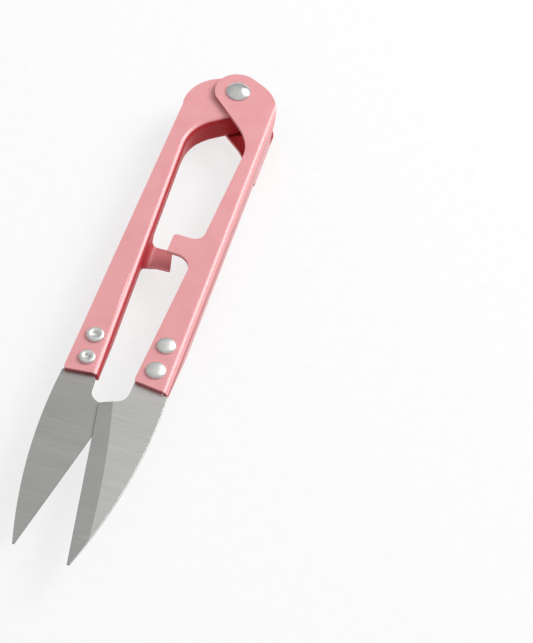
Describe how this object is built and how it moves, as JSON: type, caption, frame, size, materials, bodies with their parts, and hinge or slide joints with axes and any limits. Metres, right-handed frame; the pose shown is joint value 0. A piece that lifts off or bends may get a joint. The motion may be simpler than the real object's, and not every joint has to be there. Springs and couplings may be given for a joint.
{
  "type": "thread snips",
  "caption": "Sprung thread snips lying open: folded painted steel handles on a riveted pivot, each carrying a riveted pointed blade.",
  "frame": {"origin": "pivot axis, on the flat end of the pivot rivet's tail, which the snips lie on", "axes": "+Z out of the front handle along the pivot axis, -Y along the middle line towards the blade tips, +X towards the handle whose ear is on top"},
  "size_m": [0.0184, 0.1073, 0.0084],
  "materials": {
    "handle_paint": "satin pink enamel",
    "blade_steel": "satin ground steel",
    "rivet_metal": "bright nickel plate",
    "spring_wire": "drawn spring wire"
  },
  "bodies": {
    "right_half": {"right_handle": "handle_paint", "right_blade": "blade_steel", "right_upper_rivet": "rivet_metal", "right_lower_rivet": "rivet_metal", "pivot_rivet": "rivet_metal", "pivot_spacer": "rivet_metal", "pivot_spring": "spring_wire"},
    "left_half": {"left_handle": "handle_paint", "left_blade": "blade_steel", "left_upper_rivet": "rivet_metal", "left_lower_rivet": "rivet_metal"}
  },
  "joints": [
    {"name": "pivot", "type": "hinge", "parent": "right_half", "child": "left_half", "pos_m": [0, 0, 0.0035], "axis": [0, 0, 1], "range_deg": [0, 4.9], "stiffness_Nm_per_rad": 0.8, "springref_deg": -14.32, "deforming": ["pivot_spring"]}
  ]
}
